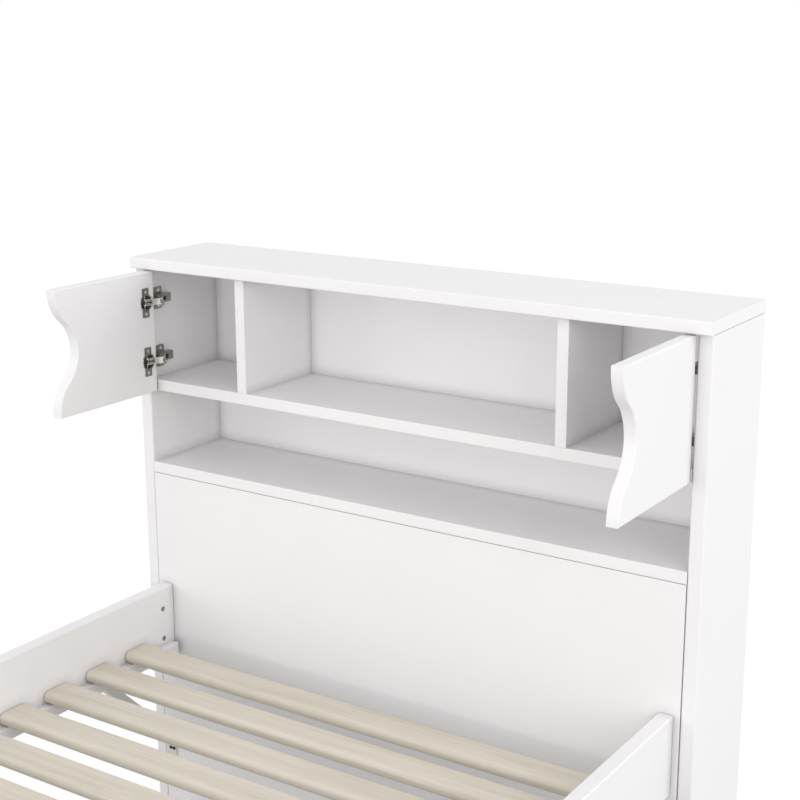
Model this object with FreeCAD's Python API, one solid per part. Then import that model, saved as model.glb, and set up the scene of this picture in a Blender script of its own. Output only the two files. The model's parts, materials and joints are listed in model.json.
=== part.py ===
import FreeCAD, Part
import math
import os

# Bookcase headboard bed. Millimetres, +Z up, origin on the floor in the centre of the footprint.
# The headboard's back is towards +Y and the foot of the bed is towards -Y.

# Overall sizes
BED_WIDTH = 1130.0
HEADBOARD_HEIGHT = 1150.0
HEADBOARD_DEPTH = 208.0
INNER_LENGTH = 1950.0
FOOT_POST_DEPTH = 40.0

# Headboard boards
SIDE_THICKNESS = 25.0
SIDE_EDGE_RADIUS = 4.0
TOP_THICKNESS = 21.0
TOP_OVERHANG = 12.0
TOP_EDGE_RADIUS = 2.5
SHELF_THICKNESS = 21.0
SHELF_EDGE_RADIUS = 1.5
UPPER_BAY_HEIGHT = 207.0
LOWER_BAY_HEIGHT = 141.0
SIDE_BAY_WIDTH = 210.0
DIVIDER_THICKNESS = 20.0
DIVIDER_EDGE_RADIUS = 1.0
BACK_PANEL_THICKNESS = 5.0
BACK_PANEL_SETBACK = 6.0
GROOVE_DEPTH = 6.0
GROOVE_SIDE_PLAY = 0.2
GROOVE_END_PLAY = 0.3
FRONT_PANEL_THICKNESS = 18.0
FRONT_PANEL_BOTTOM = 24.0
STRETCHER_THICKNESS = 18.0
STRETCHER_HEIGHT = 120.0
BOARD_EDGE_RADIUS = 1.0
PANEL_JOINT_GAP = 0.6
TOP_JOINT_GAP = 0.8
TOP_JOINT_DEPTH = 2.5

# Rails, ledgers and slats
RAIL_THICKNESS = 25.0
RAIL_HEIGHT = 138.0
RAIL_BOTTOM = 383.0
RAIL_SIDE_GAP = 11.0
RAIL_EDGE_RADIUS = 3.0
LEDGER_WIDTH = 16.0
LEDGER_HEIGHT = 24.0
LEDGER_END_GAP = 10.0
LEDGER_EDGE_RADIUS = 1.0
SLAT_COUNT = 18
SLAT_WIDTH = 60.0
SLAT_THICKNESS = 22.0
SLAT_EDGE_RADIUS = 10.0
SLAT_END_GAP = 2.0
FIRST_SLAT_DISTANCE = 110.0
LAST_SLAT_DISTANCE = 106.0

# Footboard
FOOT_POST_WIDTH = 61.0
FOOT_POST_HEIGHT = 580.0
FOOT_POST_EDGE_RADIUS = 6.0
FOOT_PANEL_THICKNESS = 20.0
FOOT_PANEL_TOP = 560.0
FOOT_PANEL_EDGE_RADIUS = 4.0

# Knee braces
BRACE_REACH = 199.0
BRACE_THICKNESS = 17.5
BRACE_WIDTH = 18.0
BRACE_INNER_OFFSET = 7.5
BRACE_PLATE_THICKNESS = 3.0
BRACE_PLATE_WIDTH = 22.0
BRACE_FOOT_DROP = 27.0
BRACE_FOOT_RISE = 22.0
BRACE_TOP_REACH = 24.0
BRACE_SCREW_SPACING = 8.0
BRACE_SCREW_DROP = 12.0
BRACE_CORNER_RADIUS = 2.0

# Doors
DOOR_THICKNESS = 20.0
DOOR_TOP_GAP = 2.0
DOOR_HEIGHT = 226.0
DOOR_WIDEST = 245.8
DOOR_WAVE_DEPTH = 48.0
DOOR_WAVE_HALF_RUN = 107.0
DOOR_EDGE_RADIUS = 2.5
DOOR_SIDE_REVEAL = 0.7
DOOR_FACE_GAP = 2.0
DOOR_OPEN_SIDE_GAP = 1.0
DOOR_OPEN_FRONT_GAP = 2.7

# Hinge places, measured down from the top board's underside
HINGE_DROPS = (58.5, 168.5)

# Hinge cup and its flange. S runs along the door from its hinge edge, D into the door.
CUP_CENTRE_S = 21.8
CUP_CAVITY_RADIUS = 13.0
CUP_WALL = 1.0
CUP_CAVITY_DEPTH = 11.0
CUP_FLOOR = 1.0
CUP_BORE_PLAY = 0.05
FLANGE_CENTRE_S = 23.2
FLANGE_THICKNESS = 1.2
FLANGE_EAR_WIDTH = 17.0
FLANGE_HEIGHT = 54.0
FLANGE_RIM = 1.5
FLANGE_CORNER_RADIUS = 2.0
LINK_NOTCH_HALF_HEIGHT = 6.6
CUP_SCREW_SPACING = 41.0

# Hinge pivots
DOOR_PIVOT_S = 22.8
DOOR_PIVOT_D = 2.0
OUTER_PIVOT_HEIGHT = 30.0
INNER_PIVOT_X = 48.6
INNER_PIVOT_Y = 10.6
OPEN_PIVOT_S = 19.3
OPEN_PIVOT_D = 3.0
DOOR_PIN_RADIUS = 1.2
CABINET_PIN_RADIUS = 1.5
OPEN_PIN_RADIUS = 1.0
OPEN_PIN_PLAY = 1.6
PIN_PLAY = 0.06

# Hinge links and arm, half heights along Z from the hinge centre
INNER_FORK_START = 1.4
INNER_LINK_HALF_HEIGHT = 3.7
OPEN_LUG_HALF_HEIGHT = 1.1
OPEN_LUG_HALF_WIDTH = 1.3
OUTER_CHEEK_START = 4.2
OUTER_CHEEK_END = 5.8
DOOR_PIN_START = 4.0
LINK_HALF_WIDTH = 1.3
BAND_STEPS = 8
OUTER_LINK_BOW = -1.0
OUTER_BOW_SKEW = -0.8
INNER_LINK_BOW = 3.0
INNER_BOW_SKEW = 0.8
OUTER_WEB_SHARE = 0.56
OUTER_WEB_NEAR = 1.9
OUTER_WEB_FAR = 3.1
INNER_WEB_SHARE = 0.4
DOOR_EYE_RADIUS = 2.3
CABINET_EYE_RADIUS = 2.9
OPEN_EYE_WALL = 1.0
ARM_CHEEK_START = 6.1
ARM_CHEEK_END = 7.6
ARM_WEB_THICKNESS = 1.5
ARM_REACH_X = 15.0
ARM_FRONT = 20.0
ARM_BACK = 51.0
ARM_CORNER_RADIUS = 2.0
ARM_EYE_WALL = 3.4
ARM_NOSE_MARGIN = 1.0
ARM_NOSE_RUN = 2.5
ARM_CRANK_SETBACK = 4.0
ARM_CRANK_RISE = 5.8
ARM_THROAT_DROP = 1.2
ARM_THROAT_RUN = 12.6
ARM_THROAT_ADVANCE = 5.0
ARM_WEB_BEND_SHIFT = 0.7
ARM_WEB_TIP_SHIFT = 1.2

# Mounting plate
PLATE_THICKNESS = 2.0
PLATE_FRONT = 19.0
PLATE_BACK = 39.0
PLATE_HEIGHT = 41.0
PLATE_CORNER_RADIUS = 2.0
PLATE_SCREW_SPACING = 28.0
CLAMP_SCREW_DISTANCE = 31.5

# Fasteners
FASTENER_PLAY = 0.1
BARREL_NUT_RADIUS = 5.0
BARREL_NUT_LENGTH = 16.0
BARREL_NUT_RECESS = 1.0
BARREL_NUT_DISTANCE = 31.0
BARREL_NUT_DROPS = (42.0, 102.0)
BOLT_RADIUS = 3.0
BOLT_HEAD_RADIUS = 8.0
BOLT_HEAD_HEIGHT = 3.0
BOLT_NUT_OVERRUN = 2.0
CAM_RADIUS = 7.5
CAM_DEPTH = 12.0
CAM_DISTANCE = 30.0
CAM_BOLT_RADIUS = 3.0
CAM_BOLT_BITE = 12.0
CAM_INSETS = (40.0, 150.0)
DOWEL_RADIUS = 4.0
DOWEL_SHARES = (0.25, 0.75)
DOWEL_BITE = 12.0
SCREW_RADIUS = 2.0
SCREW_HEAD_RADIUS = 4.0
SCREW_HEAD_DEPTH = 2.2
LEDGER_SCREW_LENGTH = 32.0
LEDGER_SCREW_COUNT = 9
SLAT_SCREW_LENGTH = 38.0
BRACE_SCREW_LENGTH = 16.0
BRACE_HEAD_RADIUS = 3.2
BRACE_HEAD_HEIGHT = 1.6
HINGE_SCREW_RADIUS = 1.8
HINGE_SCREW_LENGTH = 14.0
HINGE_HEAD_RADIUS = 3.3
HINGE_HEAD_HEIGHT = 1.4
HINGE_SINK_DEPTH = 1.6
CLAMP_SCREW_RADIUS = 2.5
CLAMP_HEAD_RADIUS = 4.0
SLOT_WIDTH = 1.0
SLOT_DEPTH = 0.7
GLIDE_HEIGHT = 4.0
GLIDE_RADIUS = 10.0
GLIDE_PIN_RADIUS = 2.0
GLIDE_PIN_LENGTH = 14.0
GLIDE_INSET = 30.0

# Derived places
HALF_WIDTH = BED_WIDTH / 2
BED_LENGTH = HEADBOARD_DEPTH + INNER_LENGTH + FOOT_POST_DEPTH
FRONT_Y = BED_LENGTH / 2 - HEADBOARD_DEPTH
BACK_Y = FRONT_Y + HEADBOARD_DEPTH
FOOT_Y = FRONT_Y - INNER_LENGTH
END_Y = FOOT_Y - FOOT_POST_DEPTH
INNER_X = HALF_WIDTH - SIDE_THICKNESS
TOP_Z = HEADBOARD_HEIGHT - TOP_THICKNESS
MIDDLE_TOP_Z = TOP_Z - UPPER_BAY_HEIGHT
MIDDLE_LOW_Z = MIDDLE_TOP_Z - SHELF_THICKNESS
LOWER_TOP_Z = MIDDLE_LOW_Z - LOWER_BAY_HEIGHT
LOWER_LOW_Z = LOWER_TOP_Z - SHELF_THICKNESS
PANEL_BACK_Y = BACK_Y - BACK_PANEL_SETBACK
PANEL_FRONT_Y = PANEL_BACK_Y - BACK_PANEL_THICKNESS
DIVIDER_OUTER_X = INNER_X - SIDE_BAY_WIDTH
DIVIDER_INNER_X = DIVIDER_OUTER_X - DIVIDER_THICKNESS
RAIL_OUTER_X = INNER_X - RAIL_SIDE_GAP
RAIL_INNER_X = RAIL_OUTER_X - RAIL_THICKNESS
RAIL_CENTRE_X = (RAIL_OUTER_X + RAIL_INNER_X) / 2
RAIL_TOP = RAIL_BOTTOM + RAIL_HEIGHT
LEDGER_INNER_X = RAIL_INNER_X - LEDGER_WIDTH
LEDGER_CENTRE_X = (RAIL_INNER_X + LEDGER_INNER_X) / 2
LEDGER_TOP = RAIL_BOTTOM + LEDGER_HEIGHT
LEDGER_CENTRE_Z = RAIL_BOTTOM + LEDGER_HEIGHT / 2
SLAT_HALF_LENGTH = RAIL_INNER_X - SLAT_END_GAP
FOOT_PANEL_BACK = FOOT_Y - (FOOT_POST_DEPTH - FOOT_PANEL_THICKNESS) / 2
FOOT_PANEL_FRONT = FOOT_PANEL_BACK - FOOT_PANEL_THICKNESS
POST_INNER_X = HALF_WIDTH - FOOT_POST_WIDTH
DOOR_TOP_Z = TOP_Z - DOOR_TOP_GAP
DOOR_LOW_Z = DOOR_TOP_Z - DOOR_HEIGHT
DOOR_INNER_X = -(INNER_X - DOOR_OPEN_SIDE_GAP - DOOR_THICKNESS)
DOOR_OUTER_X = DOOR_INNER_X - DOOR_THICKNESS
DOOR_HINGE_Y = FRONT_Y - DOOR_OPEN_FRONT_GAP
CUP_OUTER_RADIUS = CUP_CAVITY_RADIUS + CUP_WALL
CUP_TOTAL_DEPTH = CUP_CAVITY_DEPTH + CUP_FLOOR
OPEN_HOLE_RADIUS = OPEN_PIN_RADIUS + OPEN_PIN_PLAY
OPEN_EYE_RADIUS = OPEN_HOLE_RADIUS + OPEN_EYE_WALL
BRACE_INNER_X = RAIL_INNER_X + BRACE_INNER_OFFSET
BRACE_CENTRE_X = BRACE_INNER_X + BRACE_WIDTH / 2
BARREL_NUT_HEIGHTS = [RAIL_TOP - drop for drop in BARREL_NUT_DROPS]
SLAT_PITCH = (INNER_LENGTH - FIRST_SLAT_DISTANCE - LAST_SLAT_DISTANCE) / (SLAT_COUNT - 1)
SLAT_CENTRES = [FRONT_Y - FIRST_SLAT_DISTANCE - SLAT_PITCH * i for i in range(SLAT_COUNT)]
LEDGER_SCREW_PITCH = (SLAT_CENTRES[0] - SLAT_CENTRES[-1] - SLAT_PITCH) / (LEDGER_SCREW_COUNT - 1)
FIRST_LEDGER_SCREW = SLAT_CENTRES[0] - SLAT_PITCH / 2
LEDGER_SCREW_PLACES = [FIRST_LEDGER_SCREW - LEDGER_SCREW_PITCH * i for i in range(LEDGER_SCREW_COUNT)]
HINGE_HEIGHTS = [TOP_Z - drop for drop in HINGE_DROPS]

X_AXIS = FreeCAD.Vector(1, 0, 0)
Y_AXIS = FreeCAD.Vector(0, 1, 0)
Z_AXIS = FreeCAD.Vector(0, 0, 1)
ORIGIN = FreeCAD.Vector(0, 0, 0)
TOLERANCE = 1e-3


def point(x, y, z=0.0):
    return FreeCAD.Vector(x, y, z)


def box(low, high):
    """Plain box between two corners."""
    size = [high[i] - low[i] for i in range(3)]
    return Part.makeBox(size[0], size[1], size[2], point(*low))


def edges_along(solid, axis):
    """Straight edges of a box that run along one axis."""
    found = []
    for edge in solid.Edges:
        run = edge.Vertexes[-1].Point.sub(edge.Vertexes[0].Point)
        if run.cross(axis).Length < TOLERANCE:
            found.append(edge)
    return found


def board(low, high, axis, radius):
    """Board with its four edges along one axis rounded."""
    solid = box(low, high)
    return solid.makeFillet(radius, edges_along(solid, axis))


def rod(start, direction, radius, length):
    return Part.makeCylinder(radius, length, start, direction)


def mirrored(shape):
    """The same shape on the right side of the bed."""
    return shape.mirror(ORIGIN, X_AXIS)


def on_both_sides(shapes):
    return shapes + [mirrored(shape) for shape in shapes]


def cut_all(solid, tools):
    """Cut a list of tools from a solid and keep one clean solid."""
    if tools:
        solid = solid.cut(Part.makeCompound(tools))
    return solid.removeSplitter().Solids[0]


def grown_rod(start, direction, radius, length, play=FASTENER_PLAY):
    """Hole for a rod, wider by the play and longer by it at both ends."""
    run = FreeCAD.Vector(direction).normalize()
    return rod(start - run * play, run, radius + play, length + 2 * play)


def rounded_outline(corners, radius):
    """Closed wire through the corners, each corner turned into an arc."""
    count = len(corners)
    edges = []
    starts = []
    ends = []
    middles = []
    for i in range(count):
        before = corners[i - 1].sub(corners[i]).normalize()
        after = corners[(i + 1) % count].sub(corners[i]).normalize()
        half = before.getAngle(after) / 2
        reach = radius / math.tan(half)
        centre_line = before.add(after).normalize()
        centre = corners[i] + centre_line * (radius / math.sin(half))
        starts.append(corners[i] + before * reach)
        ends.append(corners[i] + after * reach)
        middles.append(centre - centre_line * radius)
    for i in range(count):
        edges.append(Part.Arc(starts[i], middles[i], ends[i]).toShape())
        edges.append(Part.makeLine(ends[i], starts[(i + 1) % count]))
    return Part.Wire(edges)


def slab(wire, low_z, high_z):
    """Solid of a flat wire in the XY plane between two heights."""
    face = Part.Face(wire)
    solid = face.extrude(point(0, 0, high_z - low_z))
    solid.translate(point(0, 0, low_z))
    return solid


# ---------------------------------------------------------------- fasteners

def cam_places():
    """Cam positions under the shelves as (centre, way in, way to the side panel, shelf thickness)."""
    places = []
    for low_z in (MIDDLE_LOW_Z, LOWER_LOW_Z):
        for inset in CAM_INSETS:
            centre = point(-(INNER_X - CAM_DISTANCE), FRONT_Y + inset, low_z)
            places.append((centre, Z_AXIS, -X_AXIS, SHELF_THICKNESS))
    return places


def cam_locks():
    locks = []
    for centre, into, run, thickness in cam_places():
        lock = rod(centre, into, CAM_RADIUS, CAM_DEPTH)
        bolt = cam_bolt(centre, into, run, thickness)
        locks.append(lock.cut(grown(bolt)))
    return on_both_sides([lock.Solids[0] for lock in locks])


def cam_bolt(centre, into, run, thickness):
    """Bolt from the cam's middle into the neighbouring board."""
    start = centre + into * (thickness / 2)
    return rod(start, run, CAM_BOLT_RADIUS, CAM_DISTANCE + CAM_BOLT_BITE)


def grown(cylinder):
    """A cylinder wider and longer by the fastener play."""
    surface = [face.Surface for face in cylinder.Faces if hasattr(face.Surface, "Radius")][0]
    ends = [face.CenterOfMass for face in cylinder.Faces if not hasattr(face.Surface, "Radius")]
    run = ends[1].sub(ends[0])
    return grown_rod(ends[0], run, surface.Radius, run.Length)


def cam_bolts():
    return on_both_sides([cam_bolt(*place) for place in cam_places()])


def dowels():
    """Wooden dowels of the top board, dividers, front panel, stretcher and foot panel."""
    pins = []
    divider_x = -(DIVIDER_OUTER_X + DIVIDER_INNER_X) / 2
    side_x = -(HALF_WIDTH - SIDE_THICKNESS / 2)
    length = 2 * DOWEL_BITE
    for inset in CAM_INSETS:
        for x, z in ((divider_x, MIDDLE_TOP_Z), (divider_x, TOP_Z), (side_x, TOP_Z)):
            pins.append(rod(point(x, FRONT_Y + inset, z - DOWEL_BITE), Z_AXIS, DOWEL_RADIUS, length))
    panel_y = FRONT_Y + FRONT_PANEL_THICKNESS / 2
    stretcher_y = BACK_Y - STRETCHER_THICKNESS / 2
    foot_y = (FOOT_PANEL_FRONT + FOOT_PANEL_BACK) / 2
    for z in (FRONT_PANEL_BOTTOM + STRETCHER_HEIGHT / 2, RAIL_BOTTOM, LOWER_LOW_Z - STRETCHER_HEIGHT / 2):
        pins.append(rod(point(-INNER_X - DOWEL_BITE, panel_y, z), X_AXIS, DOWEL_RADIUS, length))
    for share in DOWEL_SHARES:
        z = FRONT_PANEL_BOTTOM + STRETCHER_HEIGHT * share
        pins.append(rod(point(-INNER_X - DOWEL_BITE, stretcher_y, z), X_AXIS, DOWEL_RADIUS, length))
        z = RAIL_BOTTOM + (FOOT_PANEL_TOP - RAIL_BOTTOM) * share
        pins.append(rod(point(-POST_INNER_X - DOWEL_BITE, foot_y, z), X_AXIS, DOWEL_RADIUS, length))
    return on_both_sides(pins)


def nut_places():
    """Left rail's nut centres as (y, z, direction from the nut to the bolt head)."""
    places = []
    for z in BARREL_NUT_HEIGHTS:
        places.append((FRONT_Y - BARREL_NUT_DISTANCE, z, Y_AXIS))
        places.append((FOOT_Y + BARREL_NUT_DISTANCE, z, -Y_AXIS))
    return places


def rail_bolt(y, z, run):
    """Bolt from beyond the nut to its flat head behind the panel or in the post."""
    thickness = FRONT_PANEL_THICKNESS if run.y > 0 else FOOT_POST_DEPTH - BOLT_HEAD_HEIGHT
    start = point(-RAIL_CENTRE_X, y, z) - run * (BARREL_NUT_RADIUS + BOLT_NUT_OVERRUN)
    shank = BARREL_NUT_RADIUS + BOLT_NUT_OVERRUN + BARREL_NUT_DISTANCE + thickness
    head = rod(start + run * shank, run, BOLT_HEAD_RADIUS, BOLT_HEAD_HEIGHT)
    return rod(start, run, BOLT_RADIUS, shank).fuse(head).removeSplitter().Solids[0]


def rail_bolt_hole(y, z, run):
    """Clearance for one rail bolt and its head."""
    thickness = FRONT_PANEL_THICKNESS if run.y > 0 else FOOT_POST_DEPTH - BOLT_HEAD_HEIGHT
    start = point(-RAIL_CENTRE_X, y, z) - run * (BARREL_NUT_RADIUS + BOLT_NUT_OVERRUN)
    shank = BARREL_NUT_RADIUS + BOLT_NUT_OVERRUN + BARREL_NUT_DISTANCE + thickness
    hole = grown_rod(start, run, BOLT_RADIUS, shank)
    head = rod(start + run * shank, run, BOLT_HEAD_RADIUS + FASTENER_PLAY, 2 * BOLT_HEAD_HEIGHT)
    return hole.fuse(head)


def rail_bolts():
    return on_both_sides([rail_bolt(*place) for place in nut_places()])


def barrel_nut(y, z, run):
    start = point(-RAIL_INNER_X - BARREL_NUT_RECESS, y, z)
    nut = rod(start, -X_AXIS, BARREL_NUT_RADIUS, BARREL_NUT_LENGTH)
    nut = nut.cut(rail_bolt_hole(y, z, run))
    slot = box((start.x - SLOT_DEPTH, y - BARREL_NUT_RADIUS, z - SLOT_WIDTH / 2),
               (start.x + SLOT_DEPTH, y + BARREL_NUT_RADIUS, z + SLOT_WIDTH / 2))
    return nut.cut(slot).Solids[0]


def barrel_nuts():
    return on_both_sides([barrel_nut(*place) for place in nut_places()])


def sunk_screw(seat, run, length):
    """Countersunk screw whose flat head lies flush at the seat."""
    head = Part.makeCone(SCREW_HEAD_RADIUS, SCREW_RADIUS, SCREW_HEAD_DEPTH, seat, run)
    shank = rod(seat, run, SCREW_RADIUS, length)
    return shank.fuse(head).removeSplitter().Solids[0]


def sunk_screw_hole(seat, run, length):
    play = FASTENER_PLAY
    head = Part.makeCone(SCREW_HEAD_RADIUS + play, SCREW_RADIUS + play, SCREW_HEAD_DEPTH, seat, run)
    return grown_rod(seat, run, SCREW_RADIUS, length).fuse(head)


def ledger_screw_seats():
    return [point(-LEDGER_INNER_X, y, LEDGER_CENTRE_Z) for y in LEDGER_SCREW_PLACES]


def slat_screw_seats():
    return [point(-LEDGER_CENTRE_X, y, RAIL_BOTTOM) for y in SLAT_CENTRES]


def ledger_screws():
    return on_both_sides([sunk_screw(s, -X_AXIS, LEDGER_SCREW_LENGTH) for s in ledger_screw_seats()])


def slat_screws():
    return on_both_sides([sunk_screw(s, Z_AXIS, SLAT_SCREW_LENGTH) for s in slat_screw_seats()])


def glide_places():
    side_x = -(HALF_WIDTH - SIDE_THICKNESS / 2)
    post_x = -(HALF_WIDTH - FOOT_POST_WIDTH / 2)
    return [point(side_x, FRONT_Y + GLIDE_INSET), point(side_x, BACK_Y - GLIDE_INSET),
            point(post_x, (FOOT_Y + END_Y) / 2)]


def floor_glides():
    """Round plastic glides with a pin up into the wood."""
    glides = []
    for place in glide_places():
        glide = rod(place, Z_AXIS, GLIDE_RADIUS, GLIDE_HEIGHT)
        glide = glide.fuse(rod(place, Z_AXIS, GLIDE_PIN_RADIUS, GLIDE_HEIGHT + GLIDE_PIN_LENGTH))
        glides.append(glide.removeSplitter().Solids[0])
    return on_both_sides(glides)


def glide_holes():
    height = GLIDE_HEIGHT + GLIDE_PIN_LENGTH
    return on_both_sides([grown_rod(p, Z_AXIS, GLIDE_PIN_RADIUS, height) for p in glide_places()])


# ---------------------------------------------------------------- headboard

def hidden_holes():
    """Holes of all the dowels and cam bolts."""
    return [grown(piece) for piece in cam_bolts() + dowels()]


def cam_pockets():
    pockets = []
    for centre, into, run, thickness in cam_places():
        start = centre - into * CAM_DEPTH
        pockets.append(rod(start, into, CAM_RADIUS + FASTENER_PLAY, 2 * CAM_DEPTH + FASTENER_PLAY))
    return on_both_sides(pockets)


def back_groove():
    """Room of the back panel's edges, wider than the panel by the groove play."""
    side = INNER_X + GROOVE_DEPTH
    return box((-side, PANEL_FRONT_Y - GROOVE_SIDE_PLAY, LOWER_TOP_Z - GROOVE_DEPTH),
               (side, PANEL_BACK_Y + GROOVE_SIDE_PLAY, TOP_Z + GROOVE_DEPTH))


def top_board():
    solid = board((-HALF_WIDTH, FRONT_Y - TOP_OVERHANG, TOP_Z), (HALF_WIDTH, BACK_Y, HEADBOARD_HEIGHT),
                  X_AXIS, TOP_EDGE_RADIUS)
    return cut_all(solid, [back_groove()] + hidden_holes())


def top_joint_line():
    """Shadow line under the top board, along the outer face of the left side panel."""
    return box((-HALF_WIDTH, FRONT_Y, TOP_Z - TOP_JOINT_GAP), (TOP_JOINT_DEPTH - HALF_WIDTH, BACK_Y, TOP_Z))


def left_side_panel():
    solid = board((-HALF_WIDTH, FRONT_Y, GLIDE_HEIGHT), (-INNER_X, BACK_Y, TOP_Z), Z_AXIS, SIDE_EDGE_RADIUS)
    tools = [back_groove(), top_joint_line()] + hidden_holes() + cam_pockets()
    return cut_all(solid, tools + glide_holes() + left_plate_screw_holes())


def middle_shelf():
    solid = board((-INNER_X, FRONT_Y, MIDDLE_LOW_Z), (INNER_X, PANEL_FRONT_Y, MIDDLE_TOP_Z),
                  X_AXIS, SHELF_EDGE_RADIUS)
    return cut_all(solid, hidden_holes() + cam_pockets())


def lower_shelf():
    solid = board((-INNER_X, FRONT_Y, LOWER_LOW_Z), (INNER_X, BACK_Y, LOWER_TOP_Z), X_AXIS, SHELF_EDGE_RADIUS)
    return cut_all(solid, [back_groove()] + hidden_holes() + cam_pockets())


def left_divider():
    solid = board((-DIVIDER_OUTER_X, FRONT_Y, MIDDLE_TOP_Z), (-DIVIDER_INNER_X, PANEL_FRONT_Y, TOP_Z),
                  Z_AXIS, DIVIDER_EDGE_RADIUS)
    return cut_all(solid, hidden_holes())


def back_panel():
    side = INNER_X + GROOVE_DEPTH - GROOVE_END_PLAY
    return box((-side, PANEL_FRONT_Y, LOWER_TOP_Z - GROOVE_DEPTH + GROOVE_END_PLAY),
               (side, PANEL_BACK_Y, TOP_Z + GROOVE_DEPTH - GROOVE_END_PLAY))


def front_panel():
    half = INNER_X - PANEL_JOINT_GAP
    solid = box((-half, FRONT_Y, FRONT_PANEL_BOTTOM),
                (half, FRONT_Y + FRONT_PANEL_THICKNESS, LOWER_LOW_Z - PANEL_JOINT_GAP))
    front_edges = [edge for edge in solid.Edges if edge.BoundBox.YMax < FRONT_Y + TOLERANCE]
    solid = solid.makeFillet(BOARD_EDGE_RADIUS, front_edges)
    return cut_all(solid, hidden_holes() + both_bolt_holes() + brace_screw_holes())


def rear_stretcher():
    solid = board((-INNER_X, BACK_Y - STRETCHER_THICKNESS, FRONT_PANEL_BOTTOM),
                  (INNER_X, BACK_Y, FRONT_PANEL_BOTTOM + STRETCHER_HEIGHT), X_AXIS, BOARD_EDGE_RADIUS)
    return cut_all(solid, hidden_holes())


# ---------------------------------------------------------------- rails, ledgers, slats, footboard

def both_bolt_holes():
    return on_both_sides([rail_bolt_hole(*place) for place in nut_places()])


def left_side_rail():
    solid = box((-RAIL_OUTER_X, FOOT_Y, RAIL_BOTTOM), (-RAIL_INNER_X, FRONT_Y, RAIL_TOP))
    solid = solid.makeFillet(RAIL_EDGE_RADIUS, solid.Edges)
    tools = [rail_bolt_hole(*place) for place in nut_places()]
    for y, z, run in nut_places():
        start = point(-RAIL_INNER_X + BARREL_NUT_RECESS, y, z)
        depth = 2 * BARREL_NUT_RECESS + BARREL_NUT_LENGTH + FASTENER_PLAY
        tools.append(rod(start, -X_AXIS, BARREL_NUT_RADIUS + FASTENER_PLAY, depth))
    tools += [grown_rod(s, -X_AXIS, SCREW_RADIUS, LEDGER_SCREW_LENGTH) for s in ledger_screw_seats()]
    return cut_all(solid, tools + brace_screw_holes())


def left_ledger():
    solid = board((-RAIL_INNER_X, FOOT_Y + LEDGER_END_GAP, RAIL_BOTTOM),
                  (-LEDGER_INNER_X, FRONT_Y - LEDGER_END_GAP, LEDGER_TOP), Y_AXIS, LEDGER_EDGE_RADIUS)
    tools = [sunk_screw_hole(s, -X_AXIS, LEDGER_SCREW_LENGTH) for s in ledger_screw_seats()]
    tools += [sunk_screw_hole(s, Z_AXIS, SLAT_SCREW_LENGTH) for s in slat_screw_seats()]
    return cut_all(solid, tools)


def slat(y):
    solid = board((-SLAT_HALF_LENGTH, y - SLAT_WIDTH / 2, LEDGER_TOP),
                  (SLAT_HALF_LENGTH, y + SLAT_WIDTH / 2, LEDGER_TOP + SLAT_THICKNESS), X_AXIS, SLAT_EDGE_RADIUS)
    seat = point(-LEDGER_CENTRE_X, y, RAIL_BOTTOM)
    return cut_all(solid, on_both_sides([grown_rod(seat, Z_AXIS, SCREW_RADIUS, SLAT_SCREW_LENGTH)]))


def left_foot_post():
    solid = box((-HALF_WIDTH, END_Y, GLIDE_HEIGHT), (-POST_INNER_X, FOOT_Y, FOOT_POST_HEIGHT))
    soft = [edge for edge in solid.Edges if edge.BoundBox.ZMax > FOOT_POST_HEIGHT - TOLERANCE]
    solid = solid.makeFillet(FOOT_POST_EDGE_RADIUS, soft)
    tools = [grown(piece) for piece in dowels()] + both_bolt_holes() + glide_holes()
    return cut_all(solid, tools)


def footboard_panel():
    solid = board((-POST_INNER_X, FOOT_PANEL_FRONT, RAIL_BOTTOM),
                  (POST_INNER_X, FOOT_PANEL_BACK, FOOT_PANEL_TOP), X_AXIS, FOOT_PANEL_EDGE_RADIUS)
    return cut_all(solid, [grown(piece) for piece in dowels()])


# ---------------------------------------------------------------- knee braces

def brace_screw_seats():
    """Seats of one brace's screws as (place, run)."""
    foot_z = RAIL_BOTTOM - BRACE_REACH - BRACE_SCREW_DROP
    foot_y = FRONT_Y - BRACE_PLATE_THICKNESS
    seats = []
    for side in (-0.5, 0.5):
        x = -(BRACE_CENTRE_X + side * BRACE_SCREW_SPACING)
        seats.append((point(x, foot_y, foot_z), Y_AXIS))
        top_y = FRONT_Y - BRACE_REACH + BRACE_PLATE_THICKNESS + 2 * BRACE_THICKNESS + side * BRACE_SCREW_SPACING
        top_x = -RAIL_CENTRE_X
        seats.append((point(top_x, top_y, RAIL_BOTTOM - BRACE_PLATE_THICKNESS), Z_AXIS))
    return seats


def brace_screw(seat, run):
    shank = rod(seat, run, SCREW_RADIUS, BRACE_SCREW_LENGTH)
    head = rod(seat - run * BRACE_HEAD_HEIGHT, run, BRACE_HEAD_RADIUS, BRACE_HEAD_HEIGHT)
    return shank.fuse(head).removeSplitter().Solids[0]


def brace_screws():
    return on_both_sides([brace_screw(*place) for place in brace_screw_seats()])


def brace_screw_holes():
    return on_both_sides([grown_rod(seat, run, SCREW_RADIUS, BRACE_SCREW_LENGTH)
                          for seat, run in brace_screw_seats()])


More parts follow.
